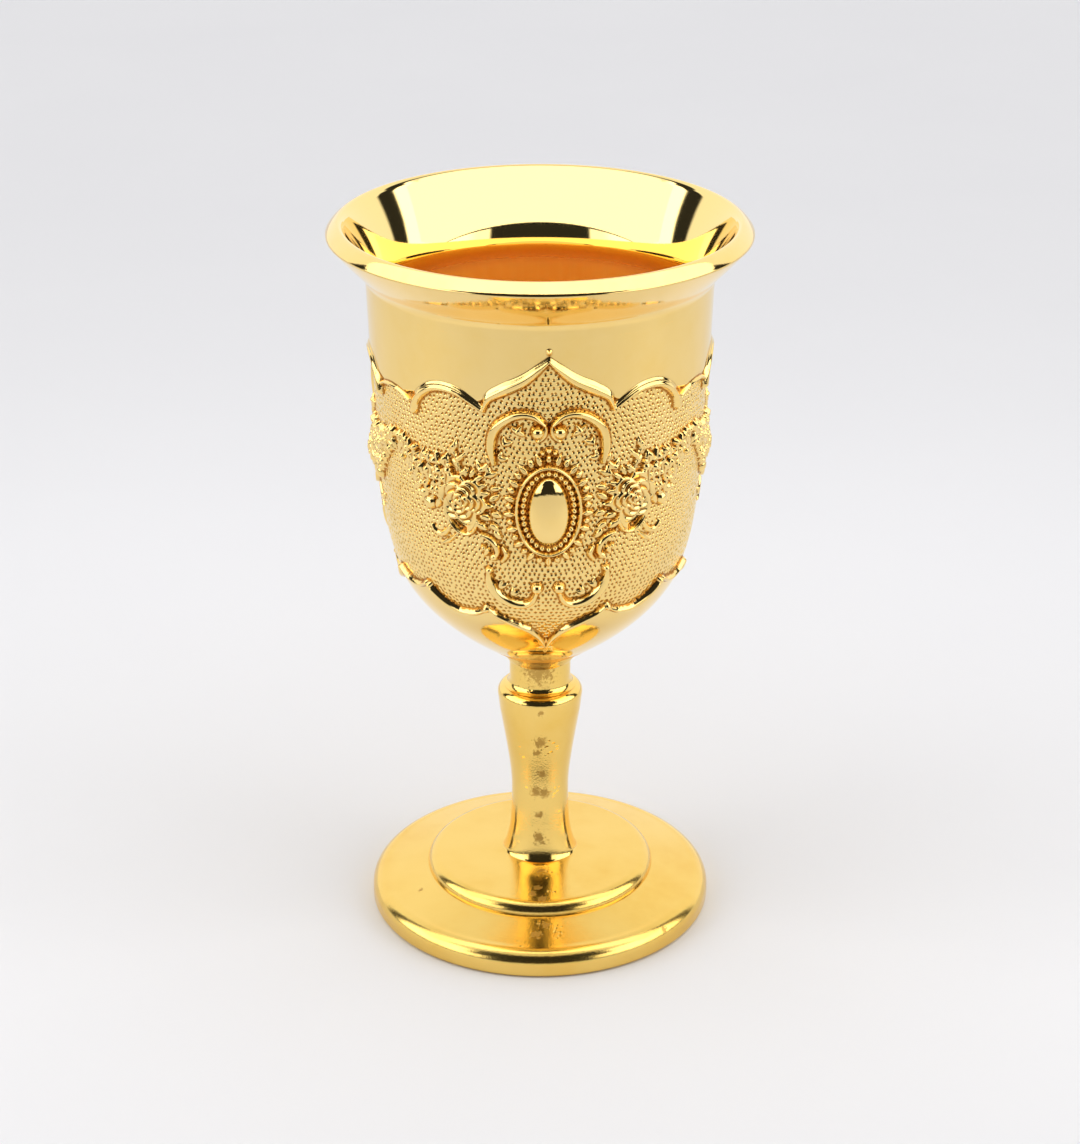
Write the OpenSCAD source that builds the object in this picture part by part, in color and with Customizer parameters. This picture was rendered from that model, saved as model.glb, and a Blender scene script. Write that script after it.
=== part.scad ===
// Goblet-shaped altar vessel: a cast bowl on a turned stem and a two-tier foot, with every piece
// of the stem threaded on one tie rod that pulls the bowl down on the foot.
// Sizes in millimetres, +Z up, origin on the axis at the plane the foot stands on.

/* [Bowl] */
// Height of the bowl from its seat on the neck to the top of the lip
bowl_h = 92.4; // [77:0.1:111]
// Outer diameter of the body where the belly ends
body_d = 66; // [55:0.5:80]
// How much wider the body gets, on the radius, up to the flared lip
body_taper = 1.2; // [0.4:0.1:3]
// How far the lip's outer edge stands out from the body under the flare
flare_out = 7.5; // [5:0.1:10]
// How far the lip's crest, its highest ring, lies inside the outer edge
crest_in = 2.45; // [1.6:0.05:3.2]
// How far the lip's outer edge lies below its crest
lip_drop = 2.1; // [1.4:0.1:3]
// Height of the rounded belly above the seat
belly_h = 46.5; // [36:0.5:56]
// Height of the flared zone, lip included
flare_h = 11; // [9:0.1:16]
// How far below the flared zone the inside starts to bend outwards
bend_h = 5; // [3:0.1:8]
// Wall of the bowl
bowl_wall = 1.7; // [1.2:0.1:2.4]

/* [Medallions] */
// Number of medallions round the bowl
medallion_count = 3; // [1:1:4]
// Height of the medallion centres above the seat
medallion_up = 44.6; // [38:0.2:50]
// Turn of the first medallion from the front, towards +X
medallion_turn = 2.9; // [-10:0.1:10]
// Width of the oval stone-shaped dome
dome_w = 7.8; // [5:0.1:10]
// Height of the oval dome
dome_h = 13.8; // [9:0.1:16]
// How far the dome stands out from the wall
dome_out = 1.7; // [1:0.1:2.6]
// Width of the oval rim round the dome, over its crest
oval_w = 12.2; // [10.8:0.1:16]
// Height of the oval rim, over its crest
oval_h = 18.4; // [16.8:0.1:22]
// Thickness of the oval rim's bead
oval_bead = 1.3; // [0.8:0.1:1.8]

/* [Neck and knop] */
// Diameter of the neck collar at its middle
neck_d = 12.7; // [10.6:0.1:15.3]
// Wall of the neck collar round the boss
collar_wall = 1.7; // [1:0.1:2.2]
// Height of the neck collar
neck_h = 7.7; // [7.2:0.1:14]
// How far the neck collar flares out where it meets the bowl's seat
neck_top_out = 1.25; // [0.6:0.05:2]
// How far the neck collar flares out where it meets the knop
neck_foot_out = 0.8; // [0.4:0.05:1.2]
// How far the knop stands out from the foot of the neck
knop_out = 1.7; // [1:0.05:4]
// Height of the knop ring
knop_h = 5.5; // [4:0.1:9]
// Radius of the knop's rounded shoulder
knop_round = 2.4; // [0.8:0.1:2.6]

/* [Stem] */
// Length of the tapered stem between its base flare and the knop
stem_l = 29.4; // [22:0.1:60]
// Diameter of the stem at its waist
waist_d = 12; // [10:0.1:12.8]
// Height of the waist above the stem's lower end
waist_up = 11; // [5:0.1:14]
// Diameter of the stem's lower end
stem_foot_d = 13; // [12.6:0.1:18]
// How far the stem's upper end lies inside the knop's widest ring
stem_top_in = 0.4; // [0.2:0.05:1]
// Bore of the hollow stem
stem_bore_d = 7; // [6.4:0.1:8]
// How far the flare at the base of the stem stands out from the stem
base_out = 1.25; // [0.5:0.05:3]
// Height of the base flare
base_h = 4; // [3.6:0.1:9]

/* [Foot] */
// Diameter of the foot, over its rounded rim
foot_d = 71.8; // [59.8:0.2:90]
// Height of the foot's rim
rim_h = 6; // [5.2:0.1:8]
// Rise of the lower tier from the rim to the upper tier
foot_rise = 1.5; // [1:0.1:4]
// How far the rim's oval upper rounding reaches in
rim_round_in = 4.1; // [2:0.1:5]
// Height of the rim's oval upper rounding
rim_round_up = 4.1; // [2:0.1:4.8]
// Radius of the rim's lower rounding
rim_round_low = 1; // [0.4:0.1:1.8]
// Wall of both tiers
foot_wall = 1.8; // [1.4:0.1:2.2]
// Diameter of the upper tier
tier_d = 48; // [40:0.2:54]
// Height of the upper tier's oval edge
tier_h = 2.7; // [2.2:0.1:6]
// How far the upper tier's oval edge reaches in
tier_round_in = 2.5; // [1.8:0.1:5]
// Rise of the upper tier from its edge to the stem
tier_rise = 0.8; // [0.6:0.1:4]
// Thickness of the base cover sheet
cover_t = 0.8; // [0.5:0.1:1.2]
// Distance of the base cover above the standing plane
cover_up = 0.6; // [0.4:0.1:1]
// Width of the flat ring that the foot stands on
stand_w = 2; // [1.4:0.1:3]

/* [Tie rod] */
// Thread diameter of the tie rod
rod_d = 5; // [5, 4]
// Length of the rod inside the tapped boss
rod_grip = 4.6; // [4:0.1:5]
// Thread clearance between rod and tapped hole, on the radius
thread_gap = 0.05; // [0.02:0.01:0.08]
// Clearance of the rod in plain holes, on the radius
rod_gap = 0.2; // [0.1:0.05:0.3]
// Length of the boss
boss_l = 5.6; // [5.2:0.1:6.4]
// Diameter of the centring spigots between the pieces
spigot_d = 9.6; // [8.6:0.1:10]
// Length of the centring spigots
spigot_l = 1; // [0.6:0.1:1.2]
// Clearance round spigots and boss, on the radius
spigot_gap = 0.05; // [0.02:0.01:0.15]
// Clearance past the end of a spigot, the boss or the rod
end_gap = 0.2; // [0.1:0.05:0.4]
// Thickness of the flat washer
washer_t = 1; // [0.8:0.1:1.2]
// Outer diameter of the flat washer
washer_d = 10; // [9:0.1:12]
// Thickness of the spring washer
spring_t = 1.2; // [1:0.1:1.4]
// Outer diameter of the spring washer
spring_d = 9.2; // [8.4:0.1:9.6]
// Width of the spring washer's gap
spring_slit = 0.6; // [0.4:0.1:1]
// Width of the nut across its flats
nut_af = 8; // [7, 8]
// Height of the thin nut
nut_h = 2.7; // [2.2:0.1:3.2]
// Rod end that shows past the nut
rod_tail = 0.5; // [0.3:0.1:0.8]

/* [Hidden] */
$fn = 96;
gold = [0.95, 0.76, 0.34];
pale_gold = [0.98, 0.84, 0.5];
deep_gold = [0.86, 0.62, 0.2];
brass = [0.72, 0.58, 0.3];
steel = [0.66, 0.67, 0.69];
arc_steps = 10;
curve_steps = 22;
overlap = 0.2;
dome_sink = 0.8;

// Heights of the joints between the stacked pieces
tier_z = rim_h + foot_rise;
tier_edge_z = tier_z + tier_h;
base_z = tier_edge_z + tier_rise;
stem_z = base_z + base_h;
knop_z = stem_z + stem_l;
neck_z = knop_z + knop_h;
bowl_z = neck_z + neck_h;
top_z = bowl_z + bowl_h;

// Radii shared by the pieces that fit together
foot_r = foot_d / 2;
tier_r = tier_d / 2;
spigot_r = spigot_d / 2;
rod_r = rod_d / 2;
hole_r = rod_r + rod_gap;
neck_r = neck_d / 2;
boss_r = neck_r - collar_wall - spigot_gap;
seat_r = neck_r + neck_top_out;
neck_foot_r = neck_r + neck_foot_out;
knop_r = neck_foot_r + knop_out;
stem_top_r = knop_r - stem_top_in;
stem_foot_r = stem_foot_d / 2;
waist_r = waist_d / 2;
base_r = stem_foot_r + base_out;
washer_land_r = washer_d / 2 + 1;
tier_spigot_r = tier_r - foot_wall;
tier_spigot_wall = 1.6;
cover_r = foot_r - stand_w - rim_round_low;
cover_top_z = cover_up + cover_t;

// Stack under the upper tier: washer, spring washer, nut and the rod's tail
land_z = base_z - foot_wall - spigot_l;
washer_z = land_z - washer_t;
spring_z = washer_z - spring_t;
nut_z = spring_z - nut_h;
rod_low_z = nut_z - rod_tail;
rod_top_z = bowl_z - boss_l + rod_grip;

// Bowl: the lip's crest and outer edge, and the ends of its curves
belly_z = bowl_z + belly_h;
flare_z = top_z - flare_h;
body_r = body_d / 2;
shoulder_r = body_r + body_taper;
lip_edge = [shoulder_r + flare_out, top_z - lip_drop];
crest = [lip_edge[0] - crest_in, top_z];

// Points of a circular arc from angle a to angle b
function arc(x, z, r, a, b) =
    [for (i = [0:arc_steps]) let (t = a + (b - a) * i / arc_steps) [x + r * cos(t), z + r * sin(t)]];

// Points of an oval edge from its side at angle 0 to angle b, with half axes across and up
function oval_edge(x, z, across, up, b) =
    [for (i = [0:curve_steps]) let (t = b * i / curve_steps) [x + across * cos(t), z + up * sin(t)]];

// Points of a cubic curve with ends p and s, pulled towards q and r
function curve(p, q, r, s) =
    [for (i = [0:curve_steps]) let (t = i / curve_steps, u = 1 - t)
        u * u * u * p + 3 * u * u * t * q + 3 * u * t * t * r + t * t * t * s];

// Ring-shaped piece: an outline of radius and height turned about the axis
module turned(outline) {
    rotate_extrude() polygon(outline);
}

// Vertical hole or pin of radius r from height low to height high
module rod_shape(r, low, high) {
    translate([0, 0, low]) cylinder(r = r, h = high - low);
}

// Centring spigot below the height z, with its tip rounded off by a small chamfer
module spigot(z) {
    chamfer = 0.2;
    rod_shape(spigot_r, z - spigot_l + chamfer, z + overlap);
    translate([0, 0, z - spigot_l]) cylinder(r1 = spigot_r - chamfer, r2 = spigot_r, h = chamfer);
}

// Socket that takes a spigot from above, cut down from the height z
module socket(z) {
    rod_shape(spigot_r + spigot_gap, z - spigot_l - end_gap, z + overlap);
}

// Belly curve: r is its end radius at height z, the pulls keep the low cone and the full cheek
function belly(low_r, low_z, r, z) =
    curve([low_r, low_z], [0.967 * r, low_z + 0.335 * (z - low_z)],
        [0.957 * r, low_z + 0.53 * (z - low_z)], [r, z]);

// Outside of the flare, a cone with a short bend at its foot, and the lip's rounded top
function flare_outside() = let (foot = [shoulder_r, flare_z], reach = lip_edge - foot)
    concat(
        curve(foot, foot + [0.08 * reach[0], 0.2 * reach[1]],
            foot + [0.38 * reach[0], 0.36 * reach[1]], lip_edge - [0, 0.25]),
        curve(lip_edge, lip_edge + [0, 0.35], crest + [0.4 * (lip_edge[0] - crest[0]), 0], crest));

// Inside of the flare: a long bend from the wall into a cone, then the lip's rounded inner edge
function flare_inside() = let (foot = [body_r - bowl_wall + 0.2, flare_z - bend_h],
        edge = crest - [1.15, 0.85], reach = edge - foot)
    concat(
        curve(foot, foot + [0, 0.28 * reach[1]], foot + [0.52 * reach[0], 0.64 * reach[1]], edge),
        curve(edge, edge + [0.4, 0.47], crest - [0.55, 0], crest));

function outer_outline() = concat(
    [[0, bowl_z]],
    belly(seat_r, bowl_z, body_r, belly_z),
    flare_outside(),
    [[0, top_z]]);

function reversed(points) = [for (i = [len(points) - 1:-1:0]) points[i]];

function inner_outline() = concat(
    [[0, bowl_z + bowl_wall]],
    belly(seat_r - bowl_wall, bowl_z + bowl_wall, body_r - bowl_wall, belly_z),
    flare_inside(),
    [[crest[0], top_z + overlap], [0, top_z + overlap]]);

// Oval dome in an oval beaded rim, drawn lying on the XZ plane and facing -Y
module medallion() {
    scale([dome_w / 2, dome_out + dome_sink, dome_h / 2]) sphere(r = 1);
    rotate([90, 0, 0]) scale([1, oval_h / oval_w, 1])
        rotate_extrude() translate([oval_w / 2 - oval_bead / 2, dome_sink])
            circle(d = oval_bead);
}

module bowl() {
    color(pale_gold) difference() {
        union() {
            turned(outer_outline());
            for (i = [0:medallion_count - 1])
                rotate(medallion_turn + i * 360 / medallion_count)
                    translate([0, dome_sink - body_r, bowl_z + medallion_up]) medallion();
        }
        turned(inner_outline());
    }
}

// Boss brazed to the seat, tapped from below for the tie rod
module bowl_boss() {
    color(brass) difference() {
        rod_shape(boss_r, bowl_z - boss_l, bowl_z);
        rod_shape(rod_r + thread_gap, bowl_z - boss_l - overlap, rod_top_z + end_gap);
    }
}

module neck_collar() {
    color(gold) difference() {
        union() {
            turned(concat(
                [[0, neck_z], [neck_foot_r, neck_z]],
                reversed(arc(neck_foot_r, neck_z + neck_foot_out, neck_foot_out, 180, 260)),
                arc(seat_r, bowl_z - 1.8 * neck_top_out, neck_top_out, 180, 110),
                [[seat_r, bowl_z], [0, bowl_z]]));
            spigot(neck_z);
        }
        rod_shape(boss_r + spigot_gap, bowl_z - boss_l - end_gap, bowl_z + overlap);
        rod_shape(hole_r, neck_z - spigot_l - overlap, bowl_z);
    }
}

// Knop: a ring that widens a little upwards to a rounded shoulder
module knop() {
    color(gold) difference() {
        union() {
            turned(concat(
                [[0, knop_z], [stem_top_r, knop_z]],
                arc(knop_r - knop_round, neck_z - knop_round, knop_round, 0, 90),
                [[0, neck_z]]));
            spigot(knop_z);
        }
        socket(neck_z);
        rod_shape(hole_r, knop_z - spigot_l - overlap, neck_z + overlap);
    }
}

module stem() {
    waist = [waist_r, stem_z + waist_up];
    socket_floor = knop_z - spigot_l - end_gap;
    color(gold) difference() {
        union() {
            turned(concat(
                [[0, stem_z]],
                curve([stem_foot_r, stem_z], [stem_foot_r - 0.2, stem_z + 0.4 * waist_up],
                    waist - [0, 0.4 * waist_up], waist),
                curve(waist, waist + [0, 0.35 * waist_up], [stem_top_r - 1.5, knop_z - 0.3 * stem_l],
                    [stem_top_r, knop_z]),
                [[0, knop_z]]));
            spigot(stem_z);
        }
        socket(knop_z);
        rod_shape(hole_r, stem_z - spigot_l - overlap, knop_z);
        rod_shape(stem_bore_d / 2, stem_z + spigot_l, socket_floor - spigot_l);
    }
}

// Base of the stem: a ring whose side curves outwards down to the foot
module stem_foot() {
    color(deep_gold) difference() {
        union() {
            turned(concat(
                [[0, base_z]],
                curve([base_r, base_z], [base_r - 0.36 * base_out, base_z + 0.13 * base_h],
                    [stem_foot_r + 0.1 * base_out, base_z + 0.55 * base_h], [stem_foot_r, stem_z]),
                [[0, stem_z]]));
            spigot(base_z);
        }
        socket(stem_z);
        rod_shape(hole_r, base_z - spigot_l - overlap, stem_z + overlap);
    }
}

// Upper tier: a dished cap with a spigot ring that drops into the lower tier
module foot_dome() {
    roof_z = tier_edge_z - foot_wall;
    room_r = tier_spigot_r - tier_spigot_wall;
    color(gold) difference() {
        union() {
            turned(concat(
                [[0, tier_z]],
                oval_edge(tier_r - tier_round_in, tier_z, tier_round_in, tier_h, 88),
                [[base_r, base_z], [0, base_z]]));
            rod_shape(tier_spigot_r - spigot_gap, tier_z - foot_wall, tier_z + overlap);
        }
        turned([
            [0, 0], [room_r, 0], [room_r, roof_z - 0.4], [room_r - 0.6, roof_z],
            [washer_land_r + 1, min(roof_z + 0.7 * tier_rise, land_z)],
            [washer_land_r, land_z], [0, land_z]]);
        socket(base_z);
        rod_shape(hole_r, land_z - overlap, base_z);
    }
}

// Lower tier: a hollow ring with a rounded rim that stands on a flat edge
module foot_plate() {
    room_r = foot_r - foot_wall - 0.4;
    roof_in_z = tier_z - foot_wall;
    roof_out_z = rim_h - foot_wall;
    color(gold) difference() {
        turned(concat(
            [[0, 0]],
            arc(foot_r - rim_round_low, rim_round_low, rim_round_low, -90, 0),
            oval_edge(foot_r - rim_round_in, rim_h - rim_round_up, rim_round_in, rim_round_up, 86),
            [[tier_r, tier_z], [0, tier_z]]));
        turned([
            [0, roof_in_z], [tier_spigot_r, roof_in_z],
            [room_r - 0.8, roof_out_z], [room_r, roof_out_z - 0.6],
            [room_r, cover_top_z], [0, cover_top_z]]);
        rod_shape(cover_r + spigot_gap, -overlap, cover_top_z + overlap / 2);
        rod_shape(tier_spigot_r, 0, tier_z + overlap);
    }
}

module tie_rod() {
    color(steel) rod_shape(rod_r, rod_low_z, rod_top_z);
}

module flat_washer() {
    color(steel) difference() {
        rod_shape(washer_d / 2, washer_z, land_z);
        rod_shape(hole_r, washer_z - overlap, land_z + overlap);
    }
}

module spring_washer() {
    color(steel) difference() {
        rod_shape(spring_d / 2, spring_z, washer_z);
        rod_shape(hole_r, spring_z - overlap, washer_z + overlap);
        translate([0, -spring_slit / 2, spring_z - overlap])
            cube([spring_d, spring_slit, spring_t + 2 * overlap]);
    }
}

module thin_nut() {
    color(steel) difference() {
        translate([0, 0, nut_z]) cylinder(d = nut_af / cos(30), h = nut_h, $fn = 6);
        rod_shape(rod_r + thread_gap, nut_z - overlap, spring_z + overlap);
    }
}

module base_cover() {
    color(brass) rod_shape(cover_r, cover_up, cover_top_z);
}

bowl();
bowl_boss();
neck_collar();
knop();
stem();
stem_foot();
foot_dome();
foot_plate();
tie_rod();
flat_washer();
spring_washer();
thin_nut();
base_cover();
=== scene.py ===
"""Looks of a gold-plated goblet vessel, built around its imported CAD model. Metres, +Z up, front at -Y."""
import math

import bpy
import numpy as np
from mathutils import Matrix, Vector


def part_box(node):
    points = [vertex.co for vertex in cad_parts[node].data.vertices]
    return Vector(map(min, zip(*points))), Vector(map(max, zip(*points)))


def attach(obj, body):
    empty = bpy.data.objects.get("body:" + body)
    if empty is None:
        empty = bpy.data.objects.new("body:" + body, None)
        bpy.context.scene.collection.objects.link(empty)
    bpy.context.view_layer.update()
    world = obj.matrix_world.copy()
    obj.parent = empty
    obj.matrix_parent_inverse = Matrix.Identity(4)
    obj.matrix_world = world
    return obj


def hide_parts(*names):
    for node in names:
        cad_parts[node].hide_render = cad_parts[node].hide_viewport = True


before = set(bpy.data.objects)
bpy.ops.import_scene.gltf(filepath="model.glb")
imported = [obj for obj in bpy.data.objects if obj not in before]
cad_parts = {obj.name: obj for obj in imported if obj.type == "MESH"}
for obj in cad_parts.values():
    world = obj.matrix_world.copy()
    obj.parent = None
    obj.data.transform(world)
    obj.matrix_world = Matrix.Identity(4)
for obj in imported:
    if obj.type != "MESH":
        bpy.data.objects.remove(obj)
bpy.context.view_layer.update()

MM = 0.001

# ---------------------------------------------------------------- sizes from the frame, in millimetres


def top_mm(node):
    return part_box(node)[1].z / MM


def radius_mm(node):
    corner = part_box(node)[1]
    return min(corner.x, corner.y) / MM


TIER_Z = top_mm("foot_plate")
BASE_Z = top_mm("foot_dome")
STEM_Z = top_mm("stem_foot")
KNOP_Z = top_mm("stem")
NECK_Z = top_mm("knop")
BOWL_Z = top_mm("neck_collar")
TOP_Z = top_mm("bowl")
COVER_Z = top_mm("base_cover")
FOOT_R = radius_mm("foot_plate")
TIER_R = radius_mm("foot_dome")
COVER_R = radius_mm("base_cover")
KNOP_R = radius_mm("knop")
SEAT_R = radius_mm("neck_collar")
LIP_R = radius_mm("bowl")
STEM_TOP_R = radius_mm("stem")
BASE_R = radius_mm("stem_foot")

# ---------------------------------------------------------------- sizes for the looks only, in millimetres

RIM_H, RIM_ROUND, RIM_ROUND_LOW = 5.7, 3.2, 1.0
TIER_ROUND, TIER_H = 2.5, 2.7
TIER_EDGE_Z = TIER_Z + TIER_H
STEM_FOOT_R, WAIST_R, WAIST_UP = 6.6, 6.0, 11.0
KNOP_ROUND = 1.9
NECK_R, NECK_FOOT_OUT, NECK_TOP_OUT = 6.35, 0.8, 1.25
BODY_R, SHOULDER_R = 33.0, 34.2
BELLY_Z, FLARE_Z = BOWL_Z + 46.5, TOP_Z - 11
LIP_EDGE, CREST = np.array([LIP_R, TOP_Z - 2.1]), np.array([LIP_R - 2.45, TOP_Z])
WALL, FOOT_WALL, BORE_R, STEM_BORE_R = 1.7, 1.8, 2.7, 3.5
SPIGOT_L, SPIGOT_WALL, LAND_DROP, SEAT_GAP = 1.2, 1.6, 2.8, 0.05

MEDALLION_Z = BOWL_Z + 44.6
MEDALLION_TURN = 2.9
UNITS = 3
HALF_UNIT = 180 / UNITS
GROUND = -0.45
FRIEZE_LOW, FRIEZE_HIGH = BOWL_Z + 3.4, TOP_Z - 13
SLAB, SLAB_GAP = 0.8, 0.05
RELIEF_GAIN = 1.15
HALF_COLUMNS, RELIEF_ROWS, BACK_STEP = 130, 560, 16
# Rows of dimples are counted from this far under the medallion
DIMPLE_START = 200


# ---------------------------------------------------------------- curves and meshes


def curve(p, q, r, s, steps=32):
    """Points of a cubic curve with ends p and s, pulled towards q and r."""
    t = np.linspace(0, 1, steps + 1)[:, None]
    p, q, r, s = (np.array(v, float) for v in (p, q, r, s))
    return (1 - t) ** 3 * p + 3 * (1 - t) ** 2 * t * q + 3 * (1 - t) * t ** 2 * r + t ** 3 * s


def arc(x, z, radius, start, end, steps=14):
    """Points of a circular arc, angles in degrees."""
    a = np.radians(np.linspace(start, end, steps + 1))
    return np.column_stack([x + radius * np.cos(a), z + radius * np.sin(a)])


def line(p, s, steps=6):
    return np.linspace(np.array(p, float), np.array(s, float), steps + 1)


def outline(*runs):
    """Joins runs of points and drops points that repeat."""
    points = np.vstack([np.atleast_2d(np.array(run, float)) for run in runs])
    keep = np.r_[True, np.hypot(*np.diff(points, axis=0).T) > 1e-4]
    return points[keep]


def make_object(name, verts_mm, faces, sharp_deg):
    """Mesh object from millimetre points, smooth except where faces meet at more than sharp_deg."""
    mesh = bpy.data.meshes.new(name)
    mesh.from_pydata((np.asarray(verts_mm) * MM).tolist(), [], faces)
    mesh.polygons.foreach_set("use_smooth", [True] * len(mesh.polygons))
    mesh.set_sharp_from_angle(angle=math.radians(sharp_deg))
    mesh.update()
    piece = bpy.data.objects.new(name, mesh)
    bpy.context.scene.collection.objects.link(piece)
    return piece


def revolve(name, points, segments=288, sharp_deg=24):
    """Closed solid of revolution: the outline runs anticlockwise in (radius, height), radius 0 is a pole."""
    closed = points[0][0] > 0
    a = np.arange(segments) * 2 * math.pi / segments
    verts, rings = [], []
    for r, z in points:
        rings.append([len(verts)] * segments if r <= 0 else list(range(len(verts), len(verts) + segments)))
        if r <= 0:
            verts.append((0, 0, z))
        else:
            verts.extend(np.column_stack([r * np.cos(a), r * np.sin(a), np.full(segments, z)]).tolist())
    faces = []
    last = len(rings) if closed else len(rings) - 1
    for i in range(last):
        low, high = rings[i], rings[(i + 1) % len(rings)]
        for j in range(segments):
            k = (j + 1) % segments
            loop = [low[j], low[k], high[k], high[j]]
            face = [v for n, v in enumerate(loop) if v != loop[n - 1]]
            if len(face) > 2:
                faces.append(face)
    return make_object(name, verts, faces, sharp_deg)


# ---------------------------------------------------------------- bowl profile


def belly(low_r, low_z, r, z, steps=64):
    return curve([low_r, low_z], [0.967 * r, low_z + 0.335 * (z - low_z)],
                 [0.957 * r, low_z + 0.53 * (z - low_z)], [r, z], steps)


BODY = outline(belly(SEAT_R, BOWL_Z, BODY_R, BELLY_Z), line([BODY_R, BELLY_Z], [SHOULDER_R, FLARE_Z], 24))
BODY_LENGTH = np.r_[0, np.cumsum(np.hypot(*np.diff(BODY, axis=0).T))]


def length_at(z):
    """Length along the body's outline from the seat up to height z."""
    return np.interp(z, BODY[:, 1], BODY_LENGTH)


def body_at(length):
    """Points and outward normals of the body's outline at these lengths."""
    point = np.column_stack([np.interp(length, BODY_LENGTH, BODY[:, k]) for k in (0, 1)])
    step = 0.4
    ahead = np.column_stack([np.interp(length + step, BODY_LENGTH, BODY[:, k]) for k in (0, 1)])
    behind = np.column_stack([np.interp(length - step, BODY_LENGTH, BODY[:, k]) for k in (0, 1)])
    along = ahead - behind
    normal = np.column_stack([along[:, 1], -along[:, 0]])
    return point, normal / np.hypot(*normal.T)[:, None]


def bowl_outline():
    """Shell of the bowl: seat, belly, a recess that the frieze fills, flare, lip and inside."""
    low, high = length_at(FRIEZE_LOW), length_at(FRIEZE_HIGH)
    below, _ = body_at(np.linspace(0, low, 24))
    point, normal = body_at(np.linspace(low, high, 60))
    recess = point - normal * (SLAB + SLAB_GAP)
    above, _ = body_at(np.linspace(high, length_at(FLARE_Z), 8))
    foot, reach = np.array([SHOULDER_R, FLARE_Z]), LIP_EDGE - np.array([SHOULDER_R, FLARE_Z])
    outside = curve(foot, foot + reach * [0.08, 0.2], foot + reach * [0.38, 0.36], LIP_EDGE - [0, 0.25])
    lip = curve(LIP_EDGE, LIP_EDGE + [0, 0.35], CREST + [0.4 * (LIP_EDGE[0] - CREST[0]), 0], CREST, 16)
    bend = np.array([BODY_R - WALL + 0.2, FLARE_Z - 5])
    edge = CREST - [1.15, 0.85]
    rise = edge - bend
    inside = outline(curve(bend, bend + rise * [0, 0.28], bend + rise * [0.52, 0.64], edge, 48),
                     curve(edge, edge + [0.4, 0.47], CREST - [0.55, 0], CREST, 16))[::-1]
    painted_wall_reflection = line(bend, [BODY_R - WALL, BELLY_Z], 20)
    cup = belly(SEAT_R - WALL, BOWL_Z + WALL, BODY_R - WALL, BELLY_Z)[::-1]
    return outline([0, BOWL_Z], line([1, BOWL_Z], [SEAT_R, BOWL_Z]), below, recess, above, outside, lip,
                   inside, painted_wall_reflection, cup, [0, BOWL_Z + WALL])


# ---------------------------------------------------------------- relief of the frieze


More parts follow.
